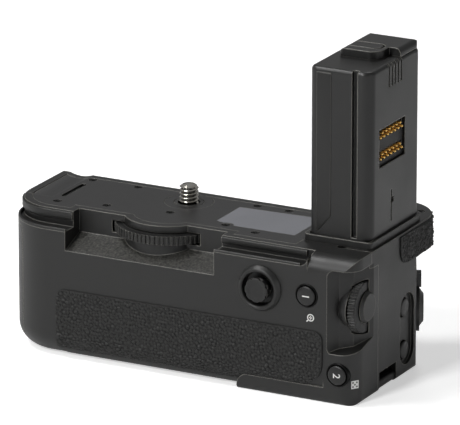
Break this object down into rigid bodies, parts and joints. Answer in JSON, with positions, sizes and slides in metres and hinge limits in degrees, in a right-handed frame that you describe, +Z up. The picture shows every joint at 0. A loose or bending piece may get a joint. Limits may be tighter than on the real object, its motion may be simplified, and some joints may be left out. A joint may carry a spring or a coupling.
{
  "type": "camera battery grip",
  "caption": "Battery grip for a mirrorless camera: body with screw wheel, plug-in stem, rear joystick, dials, buttons and a slide-out battery tray.",
  "frame": {"origin": "axis of the camera screw on the top mounting face", "axes": "+X towards the stem end, -Y towards the rear face with the joystick, +Z up out of the mounting face"},
  "size_m": [0.1306, 0.0701, 0.1102],
  "materials": {
    "shell_plastic": "fine matt texture",
    "stem_plastic": "smooth satin",
    "plate_plastic": "smooth satin",
    "label_grey": "bare label, satin",
    "pad_rubber": "pebbled",
    "knurl_black": "knurled, satin",
    "button_black": "satin to gloss",
    "screw_black": "black zinc",
    "nickel": "nickel plated",
    "steel": "bright",
    "brass": "plain",
    "gold": "gold flash",
    "inner_plastic": "moulded",
    "board_green": "solder resist",
    "ribbon": "polyimide film"
  },
  "bodies": {
    "grip": {"rear_shell": "shell_plastic", "front_shell": "shell_plastic", "hold_shell": "shell_plastic", "base_shell": "shell_plastic", "top_plate": "plate_plastic", "label_plate": "label_grey", "rear_pad": "pad_rubber", "front_pad": "pad_rubber", "grip_pad": "pad_rubber", "plate_screws": "screw_black", "shell_screws": "screw_black", "screw_disc": "plate_plastic", "screw_bush": "brass", "wheel_hub": "inner_plastic", "stem_shell": "stem_plastic", "stem_cap": "stem_plastic", "stem_collar": "shell_plastic", "contact_block": "inner_plastic", "stem_contacts": "gold", "stem_board": "board_green", "rear_dial_shaft": "steel", "dial_encoders": "inner_plastic", "front_dial_shaft": "steel", "joystick_bezel": "shell_plastic", "joystick_module": "inner_plastic", "rear_switches": "inner_plastic", "end_switches": "inner_plastic", "shutter_ring": "steel", "shutter_switch": "inner_plastic", "bay_chassis": "inner_plastic", "bay_contact_block": "inner_plastic", "spring_contacts": "gold", "main_board": "board_green", "flex_ribbon": "ribbon", "tripod_insert": "nickel", "strap_bar": "steel"},
    "wheel": {"thumb_wheel": "knurl_black"},
    "screw": {"camera_screw": "nickel", "screw_pinion": "brass"},
    "rear_dial_body": {"rear_dial": "knurl_black"},
    "front_dial_body": {"front_dial": "knurl_black"},
    "joystick_base": {"joystick_carrier": "steel"},
    "joystick_gimbal": {"joystick_yoke": "steel"},
    "joystick_stick": {"joystick_cap": "button_black"},
    "button_one_body": {"button_one": "button_black"},
    "button_two_body": {"button_two": "button_black"},
    "end_upper_body": {"end_button_upper": "button_black"},
    "end_lower_body": {"end_button_lower": "button_black"},
    "shutter": {"shutter_button": "button_black"},
    "power": {"power_ring": "button_black"},
    "tray": {"battery_tray": "inner_plastic", "tray_cap": "shell_plastic", "tray_contacts": "gold"},
    "latch": {"latch_knob": "button_black", "latch_tongue": "steel"}
  },
  "joints": [
    {"name": "wheel_spin", "type": "hinge", "parent": "grip", "child": "wheel", "pos_m": [0, -0.013, -0.004], "axis": [0, 0, 1], "continuous": true},
    {"name": "screw_spin", "type": "hinge", "parent": "grip", "child": "screw", "pos_m": [0, 0, 0], "axis": [0, 0, 1], "continuous": true},
    {"name": "rear_dial_spin", "type": "hinge", "parent": "grip", "child": "rear_dial_body", "pos_m": [0.0745, -0.0222, -0.018], "axis": [1, 0, 0], "continuous": true},
    {"name": "front_dial_spin", "type": "hinge", "parent": "grip", "child": "front_dial_body", "pos_m": [0.0663, 0.0249, -0.021], "axis": [1, 0, 0], "continuous": true},
    {"name": "joystick_press", "type": "slide", "parent": "grip", "child": "joystick_base", "axis": [0, 1, 0], "range_m": [0, 0.0005], "stiffness_N_per_m": 3000},
    {"name": "joystick_tilt_up", "type": "hinge", "parent": "joystick_base", "child": "joystick_gimbal", "pos_m": [0.043, -0.0266, -0.0136], "axis": [1, 0, 0], "range_deg": [-6, 6], "stiffness_Nm_per_rad": 0.05},
    {"name": "joystick_tilt_side", "type": "hinge", "parent": "joystick_gimbal", "child": "joystick_stick", "pos_m": [0.043, -0.0266, -0.0136], "axis": [0, 0, 1], "range_deg": [-6, 6], "stiffness_Nm_per_rad": 0.05},
    {"name": "button_one_press", "type": "slide", "parent": "grip", "child": "button_one_body", "axis": [0, 1, 0], "range_m": [0, 0.0007], "stiffness_N_per_m": 2000},
    {"name": "button_two_press", "type": "slide", "parent": "grip", "child": "button_two_body", "axis": [0, 1, 0], "range_m": [0, 0.0007], "stiffness_N_per_m": 2000},
    {"name": "end_upper_press", "type": "slide", "parent": "grip", "child": "end_upper_body", "axis": [-1, 0, 0], "range_m": [0, 0.0007], "stiffness_N_per_m": 2000},
    {"name": "end_lower_press", "type": "slide", "parent": "grip", "child": "end_lower_body", "axis": [-1, 0, 0], "range_m": [0, 0.0007], "stiffness_N_per_m": 2000},
    {"name": "shutter_press", "type": "slide", "parent": "grip", "child": "shutter", "axis": [-0.8944, -0.4472, 0], "range_m": [0, 0.0012], "stiffness_N_per_m": 1200},
    {"name": "power_turn", "type": "hinge", "parent": "grip", "child": "power", "pos_m": [0.07311, 0.02028, -0.031], "axis": [0.8944, 0.4472, 0], "range_deg": [0, 30]},
    {"name": "tray_slide", "type": "slide", "parent": "grip", "child": "tray", "axis": [-1, 0, 0], "range_m": [0, 0.095]},
    {"name": "latch_turn", "type": "hinge", "parent": "tray", "child": "latch", "pos_m": [-0.048, 0.001, -0.03065], "axis": [1, 0, 0], "range_deg": [0, 90]}
  ],
  "couplings": [
    {"joint": "screw_spin", "follows": "wheel_spin", "ratio": 5}
  ]
}
